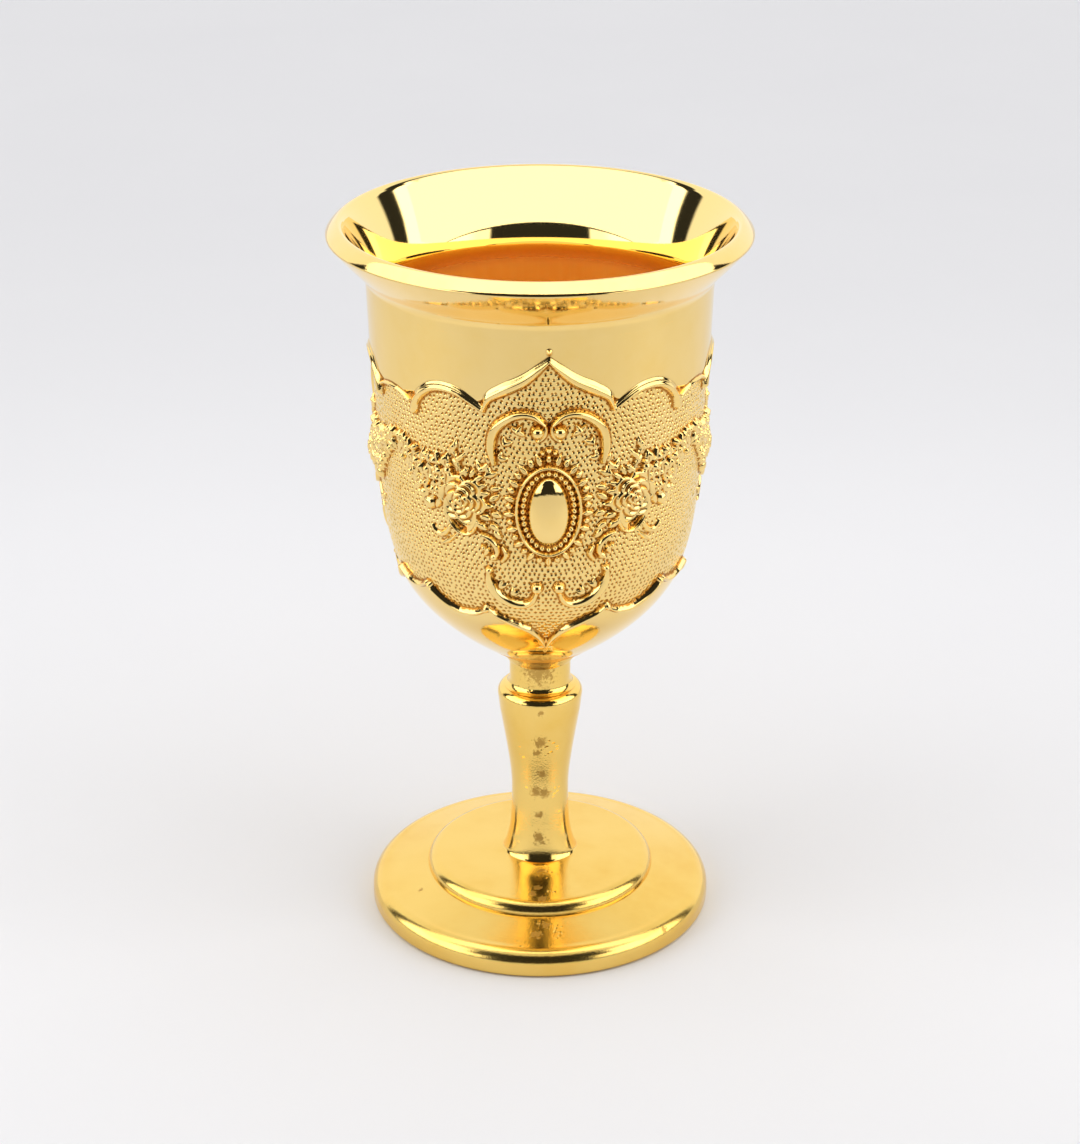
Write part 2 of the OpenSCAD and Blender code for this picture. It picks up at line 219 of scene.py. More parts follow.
class Relief:
    """Height map of half a frieze unit, from its middle (0 degrees) to its edge, in millimetres."""

    def __init__(self, columns, rows):
        self.degrees = np.linspace(0, HALF_UNIT, columns + 1)
        self.length = np.linspace(length_at(FRIEZE_LOW), length_at(FRIEZE_HIGH), rows + 1)
        self.point, self.normal = body_at(self.length)
        deg, length = np.meshgrid(self.degrees, self.length)
        self.deg = deg
        self.x = np.radians(deg) * self.point[:, :1]
        self.y = length - length_at(MEDALLION_Z)
        self.up = np.broadcast_to(self.point[:, 1:] - MEDALLION_Z, deg.shape)
        self.h = np.zeros(deg.shape)
        self.clear = np.ones(deg.shape)

    def place(self, degrees, up):
        """Plane point (x, y) of a place given in degrees from the middle and height over the medallion."""
        z = MEDALLION_Z + np.asarray(up, float)
        r = np.interp(z, BODY[:, 1], BODY[:, 0])
        return np.radians(np.asarray(degrees, float)) * r, length_at(z) - length_at(MEDALLION_Z)

    def near(self, x0, x1, y0, y1):
        """Index of the grid points in a box of the plane."""
        return np.nonzero((self.x > x0) & (self.x < x1) & (self.y > y0) & (self.y < y1))

    def raise_to(self, where, value, inside):
        """Raises the surface over GROUND by the motif's height, and keeps the dimples off it."""
        rows, cols = where[0][inside], where[1][inside]
        self.h[rows, cols] = np.maximum(self.h[rows, cols], GROUND + RELIEF_GAIN * value[inside])
        self.clear[rows, cols] = 0

    def ball(self, degrees, up, radius, height):
        cx, cy = self.place(degrees, up)
        where = self.near(cx - radius, cx + radius, cy - radius, cy + radius)
        q = ((self.x[where] - cx) ** 2 + (self.y[where] - cy) ** 2) / radius ** 2
        self.raise_to(where, height * np.sqrt(np.clip(1 - q, 0, 1)), q < 1)

    def trail(self, places, widths, height, flat=2.0):
        """Rib along a smooth line through the places; widths are half widths, height may be a pair."""
        x, y = self.place(*np.array(places, float).T)
        px, py, share = smooth_line(x, y)
        half = np.interp(share, np.linspace(0, 1, len(widths)), widths)
        tall = np.interp(share, [0, 1], [height, height] if np.isscalar(height) else height)
        pad = half.max()
        where = self.near(px.min() - pad, px.max() + pad, py.min() - pad, py.max() + pad)
        gx, gy = self.x[where], self.y[where]
        best, value = np.full(gx.shape, 9.0), np.zeros(gx.shape)
        for i in range(len(px) - 1):
            dx, dy = px[i + 1] - px[i], py[i + 1] - py[i]
            t = np.clip(((gx - px[i]) * dx + (gy - py[i]) * dy) / (dx * dx + dy * dy), 0, 1)
            d = np.hypot(gx - px[i] - t * dx, gy - py[i] - t * dy)
            q = d / (half[i] + t * (half[i + 1] - half[i]))
            nearer = q < best
            best[nearer] = q[nearer]
            value[nearer] = (tall[i] + t * (tall[i + 1] - tall[i]))[nearer]
        self.raise_to(where, value * np.sqrt(np.clip(1 - best ** flat, 0, 1)), best < 1)

    def leaf(self, degrees, up, angle, length, width, height=0.8, vein=0.3):
        """Pointed leaf from its root at a place, towards an angle from +x, with a groove down its middle."""
        bx, by = self.place(degrees, up)
        ux, uy = math.cos(math.radians(angle)), math.sin(math.radians(angle))
        pad = length + width
        where = self.near(bx - pad, bx + pad, by - pad, by + pad)
        gx, gy = self.x[where] - bx, self.y[where] - by
        u, v = (gx * ux + gy * uy) / length, gy * ux - gx * uy
        inside = (u > 0) & (u < 1)
        side = np.clip(u, 1e-3, 1 - 1e-3)
        q = np.abs(v) / (width / 2 * (4 * side * (1 - side)) ** 0.75 * (1.25 - 0.5 * side))
        value = height * np.sqrt(np.clip(1 - q ** 2, 0, 1)) * (1.05 - 0.45 * side)
        value *= 1 - vein * np.exp(-(q / 0.22) ** 2)
        self.raise_to(where, value, inside & (q < 1))

    def petal(self, cx, cy, radius, level, cup):
        """Round petal with a raised edge; a later petal covers the earlier ones."""
        where = self.near(cx - radius, cx + radius, cy - radius, cy + radius)
        q = np.hypot(self.x[where] - cx, self.y[where] - cy) / radius
        inside = q < 1
        rows, cols = where[0][inside], where[1][inside]
        edge = np.clip((1 - q[inside]) / 0.16, 0, 1)
        self.h[rows, cols] = GROUND + (level + cup * q[inside] ** 2) * (0.55 + 0.45 * np.sqrt(edge))
        self.clear[rows, cols] = 0

    def soften(self):
        h = np.pad(self.h, 1, mode="edge")
        h = (h[:-2] + 2 * h[1:-1] + h[2:]) / 4
        self.h = (h[:, :-2] + 2 * h[:, 1:-1] + h[:, 2:]) / 4


def smooth_line(x, y, steps=6):
    """Points of a smooth line through the given ones, with each point's share of the whole."""
    p = np.column_stack([x, y])
    p = np.vstack([2 * p[0] - p[1], p, 2 * p[-1] - p[-2]])
    out = []
    for i in range(1, len(p) - 2):
        t = np.linspace(0, 1, steps, endpoint=False)[:, None]
        a, b, c, d = p[i - 1:i + 3]
        out.append(0.5 * (2 * b + (c - a) * t + (2 * a - 5 * b + 4 * c - d) * t ** 2
                          + (3 * b - a - 3 * c + d) * t ** 3))
    out = np.vstack(out + [p[-2:-1]])
    run = np.r_[0, np.cumsum(np.hypot(*np.diff(out, axis=0).T))]
    return out[:, 0], out[:, 1], run / run[-1]


# Border of the frieze in degrees from the unit's middle and millimetres over the medallion. These places
# and those of the motifs below were picked by eye on the photo, turned into these units by a scratch
# script with the fitted camera, and then averaged over both sides, adjusted and rounded by hand.
OGEE_TOP = [(0, 30.6), (3.2, 28.9), (8.5, 26.4), (15, 24.4), (19.6, 22.7), (21.4, 20.4)]
LOBE_TOP = [(21.4, 20), (25, 21.3), (30, 22.8), (35, 23.3), (40, 22.9), (44.5, 21.4), (47.6, 19.4),
            (49, 17.2)]
ARCH_TOP = [(50.6, 18.9), (54.5, 19.9), (60, 20.3), (65, 19.9)]
OGEE_LOW = [(0, -33.6), (3.4, -30.4), (8, -27.8), (15, -25.8), (20.4, -24.1), (22.8, -22.6)]
LOBE_LOW = [(25.2, -23.4), (30, -24.6), (37, -25), (43.5, -23.6), (48.6, -21.3)]
ARCH_LOW = [(51, -20.4), (55, -21.6), (60, -22), (65, -21.6)]


def inside_border(relief):
    """1 on the recessed ground, 0 outside the border, with a soft step under the ribs."""
    deg, up = relief.degrees, relief.up
    high = np.interp(deg, *np.array(OGEE_TOP[:-1] + LOBE_TOP[1:-2] + ARCH_TOP[1:3]).T)
    low = np.interp(deg, *np.array(OGEE_LOW + LOBE_LOW + ARCH_LOW[:3]).T)
    step = 0.8
    return np.clip((high[None, :] - up) / step + 0.5, 0, 1) * np.clip((up - low[None, :]) / step + 0.5, 0, 1)


def border_ribs(relief):
    for line_up, half_widths in ((OGEE_TOP, [0.4, 0.9, 1.2, 1.25, 1.0, 0.4]),
                                 (LOBE_TOP, [0.4, 0.7, 0.9, 1.0, 1.0, 0.95, 0.9])):
        relief.trail([(degrees, up + 0.55) for degrees, up in line_up], half_widths, 0.66)
    relief.trail(OGEE_TOP, [0.35, 0.8, 1.05, 1.1, 0.9, 0.35], 0.98)
    relief.trail(LOBE_TOP, [0.3, 0.5, 0.62, 0.7, 0.75, 0.85, 0.9], [0.85, 1.05])
    relief.trail(ARCH_TOP, [0.35, 0.5, 0.45], 0.9)
    relief.ball(0, 32.5, 0.55, 0.95)
    relief.trail(OGEE_LOW, [0.3, 0.6, 0.7, 0.6, 0.35], 0.95, flat=3)
    relief.trail(LOBE_LOW, [0.4, 0.75, 0.9, 0.7, 0.5], 1.05)
    relief.trail(ARCH_LOW, [0.5, 0.6, 0.6], 1.0)
    relief.ball(24, -22.9, 0.85, 1.15)
    relief.ball(49.6, -20.8, 0.75, 1.1)


def oval_distance(x, y, a, b):
    """Distance from an ellipse with half axes a and b, negative inside."""
    f = np.sqrt((x / a) ** 2 + (y / b) ** 2) + 1e-6
    return (f - 1) * f / np.sqrt((x / a ** 2) ** 2 + (y / b ** 2) ** 2 + 1e-9)


def oval_places(a, b, count):
    """Points and outward angles at equal steps round an ellipse."""
    t = np.linspace(0, 2 * math.pi, 721)
    x, y = a * np.sin(t), b * np.cos(t)
    run = np.r_[0, np.cumsum(np.hypot(np.diff(x), np.diff(y)))]
    at = np.interp(np.arange(count) * run[-1] / count, run, t)
    return a * np.sin(at), b * np.cos(at), np.degrees(np.arctan2(a * np.cos(at), b * np.sin(at)))


def medallion(relief):
    """Oval dome in a pearl ring and a smooth rim, with a fringe of leaf points round it."""
    for ring, (a, b, count, long) in enumerate(((7.0, 10.1, 34, 1.5), (6.6, 9.7, 34, 2.3))):
        xs, ys, angles = oval_places(a, b, count)
        for n, (x, y, angle) in enumerate(zip(xs, ys, angles)):
            if (n + ring) % 2 == 0 and x > -3:
                relief.leaf(math.degrees(x / BODY_R), y, angle, long, 1.25, 0.75 + 0.15 * ring, vein=0.35)
    where = relief.near(-9, 9, -12, 12)
    x, y = relief.x[where], relief.y[where]
    seat = oval_distance(x, y, 6.5, 9.6)
    relief.raise_to(where, np.full(x.shape, 0.12), seat < 0)
    rim = oval_distance(x, y, 6.1, 9.2)
    relief.raise_to(where, 0.2 + 0.95 * np.sqrt(np.clip(1 - (rim / 0.46) ** 2, 0, 1)), np.abs(rim) < 0.46)
    for px, py, _ in zip(*oval_places(4.9, 8.0, 32)):
        q = ((x - px) ** 2 + (y - py) ** 2) / 0.64 ** 2
        relief.raise_to(where, 0.2 + 0.85 * np.sqrt(np.clip(1 - q, 0, 1)), q < 1)
    e = (x / (3.95 - 0.05 * y)) ** 2 + (y / 7.15) ** 2
    relief.raise_to(where, 0.3 + 1.85 * np.sqrt(np.clip(1 - e, 0, 1)), e < 1)
    for degrees, up, radius in ((0, 12.6, 0.62), (2.0, 12.1, 0.5), (0, 11.3, 0.5)):
        relief.ball(degrees, up, radius, 0.9)


def rose(relief, degrees, up, size):
    """Open rose: rings of cupped petals, each ring smaller, higher and turned against the last."""
    cx, cy = relief.place(degrees, up)
    for count, spread, radius, level, turn in ((6, 0.66, 0.5, 0.55, 10), (5, 0.47, 0.42, 0.9, 44),
                                               (4, 0.29, 0.34, 1.25, 12), (3, 0.14, 0.23, 1.6, 60)):
        for k in range(count):
            a = math.radians(turn + 360 * k / count)
            relief.petal(cx + size * spread * math.cos(a), cy + size * spread * math.sin(a),
                         size * radius, level, 0.75)
    relief.petal(cx, cy, size * 0.13, 2.1, 0.1)


def upper_scroll(relief):
    relief.trail([(18.2, 9.6), (19.2, 13), (17.8, 16.4), (13.6, 18.8), (9, 19.9), (4.8, 19.6), (1.2, 17.9)],
                 [0.5, 0.95, 1.0, 0.95, 0.85, 0.7, 0.4], [1.1, 1.2], flat=2.4)
    relief.trail([(1.3, 18), (0.9, 16.6), (1.8, 15.2), (3.6, 14.5)], [0.4, 0.4, 0.35], 0.75)
    relief.ball(3.6, 16.3, 1.35, 1.5)
    for degrees, up, angle in ((10.2, 16.2, 120), (10.2, 16.2, 40), (10.2, 16.2, 200), (14.6, 13.6, 80),
                               (14.6, 13.6, 160), (16.4, 10.4, 100), (16.4, 10.4, 170), (19.6, 9.4, 60)):
        relief.leaf(degrees, up, angle, 1.7, 1.05, 0.8)
    relief.ball(10.3, 16.3, 0.5, 0.95)
    relief.ball(14.6, 13.7, 0.5, 0.9)


def lower_scroll(relief):
    relief.trail([(21.2, -14.2), (21, -16.4), (18.6, -18.8), (14.4, -20.4), (9.6, -20.9), (6, -20),
                  (4, -17.6)],
                 [0.6, 1.0, 1.05, 0.95, 0.85, 0.7, 0.45], [1.1, 1.15], flat=2.4)
    relief.ball(4, -16.9, 1.2, 1.35)
    relief.ball(21, -13.4, 0.8, 1.1)
    for degrees, up, angle in ((17.5, -17.2, 150), (17.5, -17.2, 100), (13.4, -18.6, 110),
                               (13.4, -18.6, 160)):
        relief.leaf(degrees, up, angle, 1.7, 1.05, 0.75)


def curls(relief):
    """Small S curls between the rose and the lower scroll, and the faint leaves outside them."""
    relief.trail([(23.5, -5.6), (21, -6.2), (18.6, -7.4), (17.6, -9.2), (18.8, -10.4)],
                 [0.3, 0.6, 0.7, 0.6, 0.5], 0.95)
    relief.ball(19, -10.3, 0.85, 1.05)
    relief.trail([(15.6, -8), (14.6, -9.6), (16, -11)], [0.4, 0.6, 0.45], 0.85)
    relief.ball(22.6, -8.6, 0.6, 0.85)
    relief.leaf(20.6, -8.6, -60, 2.2, 1.1, 0.7)
    relief.trail([(35.5, -5.4), (38, -7.2), (41, -7.6), (43.5, -6.2)], [0.3, 0.6, 0.5, 0.25], 0.45)
    relief.trail([(33.5, -7.2), (36.5, -8.6), (39.5, -9.6)], [0.25, 0.5, 0.25], 0.4)


def garland(relief):
    """Wing of leaves, berries and buds that rises outward from the rose."""
    upper = [(35.5, 7.2), (41, 7.4), (46, 7.2), (51, 8.2), (55.5, 9.6)]
    middle = [(33, 3.4), (38, 4), (43, 3.8), (48, 5), (52.5, 7), (57, 9)]
    lower = [(38.5, 0.4), (43, 0.9), (47, 2.6), (51, 5)]
    for spine, count, start in ((upper, 7, 0.95), (lower, 6, 1.0), (middle, 11, 1.2)):
        spots = np.array(spine, float)
        for i in range(count):
            t = i / (count - 1) * (len(spots) - 1)
            degrees, up = (np.interp(t, range(len(spots)), spots[:, k]) for k in (0, 1))
            size = start - 0.35 * i / (count - 1)
            lean = 14 * math.sin(i * 2.4 + count)
            relief.leaf(degrees, up, 78 + lean, 3.0 * size, 1.6 * size, 0.95)
            relief.leaf(degrees, up, -62 + lean, 2.7 * size, 1.5 * size, 0.9)
            relief.leaf(degrees, up + 0.4, 28 - lean, 2.6 * size, 1.4 * size, 0.85)
            relief.ball(degrees + 0.9, up + 1.8 * size * (-1) ** i, 0.7 * size, 1.15)
            relief.ball(degrees - 1.2, up + 0.6 * size, 0.55 * size, 1.05)
    for degrees, up, radius in ((43.2, -1.2, 1.45), (45.6, 0.6, 1.15), (47.4, 2, 0.85)):
        relief.ball(degrees, up, radius, 1.15)
    for degrees, up, radius in ((36.8, 8.4, 0.85), (40.6, 8, 0.8), (35, 6.6, 0.9), (49.5, 9.4, 0.7)):
        relief.ball(degrees, up, radius, 1.1)


def sprigs(relief):
    """Twigs over the rose, and the leaves between the rose and the oval."""
    relief.trail([(29.5, 5), (30.6, 8), (32.6, 11.2)], [0.35, 0.3, 0.25], 0.7)
    for degrees, up, angle in ((30, 6.4, 140), (30.6, 7.8, 40), (31.2, 9, 130), (31.9, 10.2, 45),
                               (32.4, 11, 95), (26.5, 6, 110), (25.4, 5.4, 150), (28, 6, 80),
                               (24.4, 4.2, 165), (22.6, 7.6, 130), (22.6, 7.6, 60), (20.4, 6.6, 150),
                               (20.4, 6.6, 95), (19.6, 4.2, 175)):
        relief.leaf(degrees, up, angle, 2.1, 1.2, 0.85)
    for degrees, up, angle in ((24, 2.6, 170), (23, 0.6, 185), (23.4, -1.6, 200), (24.4, -3.4, 215),
                               (20, 1.8, 150), (19.4, -0.8, 200), (20, -3.2, 215), (18.6, -4.6, 230)):
        relief.leaf(degrees, up, angle, 2.4, 1.4, 0.95)
    relief.ball(32.9, 11.8, 0.55, 0.9)
    relief.ball(20.8, 7, 0.6, 1.0)
    relief.ball(22.8, 8, 0.55, 1.0)


def lower_petals(relief):
    """Broad smooth petals and their outline under the rose."""
    relief.leaf(34.6, 0.4, 225, 7.6, 4.4, 0.9, vein=0)
    relief.leaf(24.6, -2.2, 300, 4.2, 2.6, 0.8, vein=0)
    relief.trail([(36, -1.6), (34.2, -4.4), (30.6, -6), (26.6, -5.6), (24, -3)],
                 [0.25, 0.4, 0.4, 0.35, 0.25], 0.95)


def foot_sprig(relief):
    """Fan of narrow leaves at the lower tip of the border."""
    for angle, long in ((90, 3.4), (60, 2.8), (120, 2.8), (-90, 4.4), (-62, 3.6), (-118, 3.6), (-35, 2.6)):
        relief.leaf(0, -33.6, angle, long, 1.1, 0.8)


def half_relief(columns, rows):
    relief = Relief(columns, rows)
    mask = inside_border(relief)
    relief.h = GROUND * mask
    foot_sprig(relief)
    border_ribs(relief)
    curls(relief)
    lower_petals(relief)
    garland(relief)
    sprigs(relief)
    upper_scroll(relief)
    lower_scroll(relief)
    medallion(relief)
    rose(relief, 29.8, 1.2, 4.5)
    relief.dimpled = np.clip(mask * 1.6 - 0.6, 0, 1) * relief.clear
    for _ in range(3):
        d = np.pad(relief.dimpled, 1, mode="edge")
        around = (d[:-2, 1:-1] + d[2:, 1:-1] + d[1:-1, :-2] + d[1:-1, 2:]) / 4
        relief.dimpled = np.minimum(relief.dimpled, around)
    relief.soften()
    return relief


def dimples(relief, turn, side):
    """Depth of the punched ground: staggered rows of small round pits round the whole bowl."""
    pitch_up, pitch_round, pit_r, depth, wander = 1.0, 1.06, 0.40, 0.26, 0.23
    angle = relief.deg * side + turn
    length = relief.y + DIMPLE_START
    total = np.zeros(angle.shape)
    for offset in (-1, 0, 1):
        row = np.round(length / pitch_up) + offset
        r = np.interp(row * pitch_up - DIMPLE_START + length_at(MEDALLION_Z), BODY_LENGTH, BODY[:, 0])
        count = np.round(2 * math.pi * r / pitch_round)
        column = np.round(angle * count / 360 - 0.5 * (row % 2))
        # Repeatable scatter from each pit's own row and column
        noise = np.sin(row * 12.9898 + (column % count) * 78.233) * 43758.5453
        noise -= np.floor(noise)
        dx = np.radians(angle - (column + 0.5 * (row % 2)) * 360 / count) * r + wander * (noise - 0.5) * 2
        dy = length - row * pitch_up + wander * ((noise * 7.3) % 1 - 0.5) * 2
        q = (dx ** 2 + dy ** 2) / (pit_r * (0.85 + 0.3 * ((noise * 3.7) % 1))) ** 2
        total -= depth * np.clip(1 - q, 0, 1) ** 1.2
    return total * relief.dimpled


def blurred(h, reach):
    """Mean of the height map over a square of this reach in grid steps."""
    for axis in (0, 1):
        pad = [(reach + 1, reach) if k == axis else (0, 0) for k in (0, 1)]
        run = np.cumsum(np.pad(h, pad, mode="edge"), axis=axis)
        size = 2 * reach + 1
        h = (run[size:] - run[:-size] if axis == 0 else run[:, size:] - run[:, :-size]) / size
    return h


def cavity_map(height):
    """1 deep in crevices and pits, 0 on open and raised metal: where shade is painted into the frieze."""
    near = np.clip((blurred(height, 2) - height) / 0.09, 0, 1)
    wide = np.clip((blurred(height, 6) - height) / 0.42, 0, 1)
    return np.clip(0.75 * near + 0.85 * wide, 0, 1)


def frieze_height(relief, unit, side):
    """Height map of one half unit with its share of the punched ground."""
    return relief.h + dimples(relief, MEDALLION_TURN + unit * 360 / UNITS, side)


def frieze_slab(name, relief, height, cavity, unit, side, columns):
    """Some columns of a half unit as a closed slab: relief outside, coarse back, walls round it."""
    height, cavity = height[:, columns], cavity[:, columns]
    rows, cols = height.shape
    a = np.radians(MEDALLION_TURN + unit * 360 / UNITS + side * relief.degrees[columns] - 90)
    rz = relief.point[:, None, :] + relief.normal[:, None, :] * height[:, :, None]
    front = np.stack([rz[:, :, 0] * np.cos(a), rz[:, :, 0] * np.sin(a), rz[:, :, 1]], -1).reshape(-1, 3)
    back_rz = relief.point - relief.normal * SLAB
    back = np.stack([back_rz[:, :1] * np.cos(a), back_rz[:, :1] * np.sin(a),
                     np.repeat(back_rz[:, 1:], cols, 1)], -1).reshape(-1, 3)
    index = np.arange(rows * cols).reshape(rows, cols)
    quads = np.stack([index[:-1, :-1], index[:-1, 1:], index[1:, 1:], index[1:, :-1]], -1).reshape(-1, 4)
    faces = quads.tolist()
    behind = index + rows * cols
    r_stops = sorted({*range(0, rows, BACK_STEP), rows - 1})
    c_stops = sorted({*range(0, cols, BACK_STEP), cols - 1})
    for r0, r1 in zip(r_stops, r_stops[1:]):
        for c0, c1 in zip(c_stops, c_stops[1:]):
            low = behind[r0, c0:c1 + 1] if r0 == 0 else behind[r0, [c0, c1]]
            right = behind[r0:r1 + 1, c1] if c1 == cols - 1 else behind[[r0, r1], c1]
            high = (behind[r1, c0:c1 + 1] if r1 == rows - 1 else behind[r1, [c0, c1]])[::-1]
            left = (behind[r0:r1 + 1, c0] if c0 == 0 else behind[[r0, r1], c0])[::-1]
            ring = np.r_[low[:-1], right[:-1], high[:-1], left[:-1]]
            faces.append(ring[::-1].tolist())
    edge = np.r_[index[0, :-1], index[:-1, -1], index[-1, :0:-1], index[:0:-1, 0]]
    for p, q in zip(edge, np.roll(edge, -1)):
        faces.append([p, p + rows * cols, q + rows * cols, q])
    if side < 0:
        faces = [face[::-1] for face in faces]
    used = np.unique(np.concatenate([np.array(f) for f in faces]))
    number = np.full(2 * rows * cols, -1)
    number[used] = np.arange(len(used))
    verts = np.vstack([front, back])[used]
    faces = [number[np.array(f)].tolist() for f in faces]
    slab = make_object(name, verts, faces, 75)
    # The cavity map goes along with the slab, for the shade painted into its crevices
    shade = slab.data.attributes.new("cavity", "FLOAT", "POINT")
    shade.data.foreach_set("value", np.r_[cavity.ravel(), np.zeros(rows * cols)][used].astype(np.float32))
    return slab


# ---------------------------------------------------------------- turned pieces of the stem and foot


def ring_outline(outside, bore_r=BORE_R):
    """Closes an outside profile, low to high, with a straight bore."""
    low_z, high_z = outside[0][1], outside[-1][1]
    return outline([bore_r, low_z], outside, line([bore_r, high_z], [bore_r, low_z + 0.3], 3))


def neck_outline():
    foot = np.array([NECK_R + NECK_FOOT_OUT + 0.4, NECK_Z])
    return ring_outline(outline(
        curve(foot, foot + [-0.5, 0.15], [NECK_R, NECK_Z + 0.6], [NECK_R, NECK_Z + 1.7]),
        arc(SEAT_R, BOWL_Z - 1.8 * NECK_TOP_OUT, NECK_TOP_OUT, 180, 110),
        [SEAT_R, BOWL_Z]))


def knop_outline():
    return ring_outline(outline(
        line([STEM_TOP_R, KNOP_Z], [KNOP_R, NECK_Z - KNOP_ROUND], 8),
        arc(KNOP_R - KNOP_ROUND, NECK_Z - KNOP_ROUND, KNOP_ROUND, 0, 90, 24),
        [NECK_R, NECK_Z]))


def stem_outline():
    waist = np.array([WAIST_R, STEM_Z + WAIST_UP])
    return ring_outline(outline(
        curve([STEM_FOOT_R, STEM_Z], [STEM_FOOT_R - 0.5, STEM_Z + 0.2 * WAIST_UP],
              waist - [0, 0.45 * WAIST_UP], waist),
        curve(waist, waist + [0, 0.35 * WAIST_UP], [STEM_TOP_R - 1.5, KNOP_Z - 0.3 * (KNOP_Z - STEM_Z)],
              [STEM_TOP_R, KNOP_Z])), STEM_BORE_R)


def base_outline():
    out, tall = BASE_R - STEM_FOOT_R, STEM_Z - BASE_Z
    return ring_outline(curve([BASE_R + 0.15, BASE_Z], [BASE_R - 0.35 * out, BASE_Z + 0.14 * tall],
                              [STEM_FOOT_R + 0.22 * out, BASE_Z + 0.72 * tall], [STEM_FOOT_R, STEM_Z]))


def oval_edge(x, z, across, up, end, steps=28):
    """Points of a quarter ellipse from its side upwards, ending at an angle in degrees."""
    a = np.radians(np.linspace(0, end, steps + 1))
    return np.column_stack([x + across * np.cos(a), z + up * np.sin(a)])


def tier_outline():
    roof_z = TIER_EDGE_Z - FOOT_WALL
    room_r = TIER_R - FOOT_WALL - SPIGOT_WALL
    land_z = BASE_Z - LAND_DROP
    return outline(
        [TIER_R - FOOT_WALL, TIER_Z - SPIGOT_L], [TIER_R - FOOT_WALL, TIER_Z],
        line([TIER_R - 1, TIER_Z], [TIER_R, TIER_Z], 2),
        oval_edge(TIER_R - TIER_ROUND, TIER_Z, TIER_ROUND, TIER_EDGE_Z - TIER_Z, 88),
        line([TIER_R - TIER_ROUND - 0.4, TIER_EDGE_Z + 0.02], [BASE_R, BASE_Z], 14),
        line([BASE_R - 1, BASE_Z], [BORE_R, BASE_Z], 3),
        line([BORE_R, land_z], [6, land_z], 2), [7, land_z],
        [room_r - 0.6, roof_z], [room_r, roof_z - 0.4],
        [room_r, TIER_Z - SPIGOT_L])


def plate_outline():
    room_r = FOOT_R - FOOT_WALL - 0.4
    roof_z = TIER_Z - FOOT_WALL
    side_z = RIM_H - RIM_ROUND
    seat_r, neck_r = COVER_R + SEAT_GAP, TIER_R - FOOT_WALL + SEAT_GAP
    return outline(
        [seat_r, 0], line([COVER_R + 0.5, 0], [FOOT_R - RIM_ROUND_LOW, 0], 3),
        arc(FOOT_R - RIM_ROUND_LOW, RIM_ROUND_LOW, RIM_ROUND_LOW, -90, 0, 16),
        line([FOOT_R, RIM_ROUND_LOW + 0.1], [FOOT_R, side_z - 0.1], 4),
        arc(FOOT_R - RIM_ROUND, side_z, RIM_ROUND, 0, 86, 40),
        line([FOOT_R - RIM_ROUND - 0.1, RIM_H + 0.02], [TIER_R, TIER_Z], 16),
        line([TIER_R - 0.5, TIER_Z], [neck_r, TIER_Z], 2),
        [neck_r, roof_z], [room_r - 0.8, RIM_H - FOOT_WALL], [room_r, RIM_H - FOOT_WALL - 0.6],
        [room_r, COVER_Z], [seat_r, COVER_Z])


# ---------------------------------------------------------------- materials

# Brown places: x, y, z and reach in millimetres. The two big ones at the front, under the belly and on the
# neck just below it, are painted shade under the bowl; the others are small brown marks.
BOWL_SPOTS = ((0, -9.2, 58.4, 6.5), (10.5, -31.4, 131.5, 1.1))
STEM_SPOTS = ((0, -8, 39.4, 2.1), (-0.6, -7, 36.8, 1.2), (0.3, -6.4, 31.4, 1.5), (-0.9, -6, 27, 1.9),
              (1, -6, 26.6, 1.9), (-0.2, -6.2, 21.5, 1.2), (0, -6.8, 16, 2.2), (-0.3, -7, 55.9, 5.5),
              (0.2, -8.8, 46.8, 1.0))
FOOT_SPOTS = ((0.5, -21.4, 10, 1.5), (-1.6, -19.6, 10.4, 1.3), (-0.4, -17.4, 10.5, 1.2),
              (0.4, -11, 10.9, 1.4), (1.2, -26.6, 7.2, 1.6), (-0.8, -29.4, 6.9, 1.8),
              (25.9, -24.2, 4.4, 1.3), (28.8, -14.6, 6.6, 1.0), (-25.4, -12, 6.9, 0.9))
# The second brown is painted shade for the frieze's crevices
MARK_AND_SHADE_BROWN, CREVICE_SHADE_BROWN = (0.36, 0.17, 0.03, 1), (0.50, 0.21, 0.03, 1)
BUMP_REACH = 0.0001


